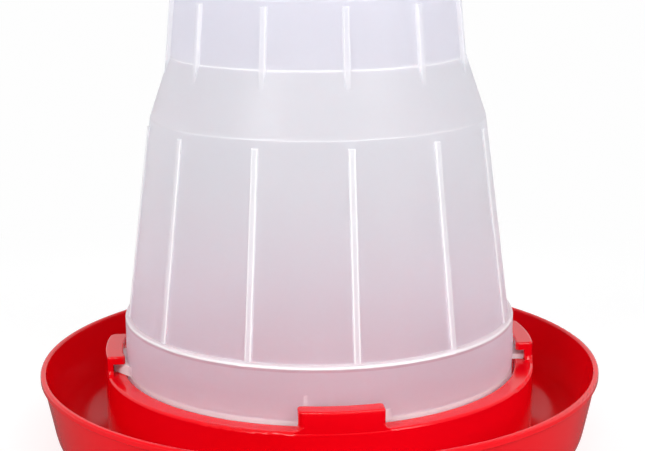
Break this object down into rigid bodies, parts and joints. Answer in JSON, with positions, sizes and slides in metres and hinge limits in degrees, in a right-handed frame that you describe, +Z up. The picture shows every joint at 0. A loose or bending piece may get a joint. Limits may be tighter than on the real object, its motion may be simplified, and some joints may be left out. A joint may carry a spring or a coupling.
{
  "type": "poultry waterer base",
  "caption": "Round poultry waterer tray with a trough, a raised inner ring and bayonet hooks, carrying a ribbed translucent reservoir jar that turns to unlock.",
  "frame": {"origin": "centre of the foot on the ground, under the middle of the tray", "axes": "+Z up along the axis of the tray and the jar; the side seen in front faces -Y and +X is to its right"},
  "size_m": [0.26, 0.26, 0.237],
  "materials": {
    "base_tray": "glossy injection-moulded polypropylene",
    "jar": "frosted translucent polypropylene"
  },
  "bodies": {
    "base": {"base_tray": "base_tray"},
    "jar": {"jar": "jar"}
  },
  "joints": [
    {"name": "jar_twist", "type": "hinge", "parent": "base", "child": "jar", "pos_m": [0, 0, 0.046], "axis": [0, 0, 1], "range_deg": [0, 64]}
  ]
}
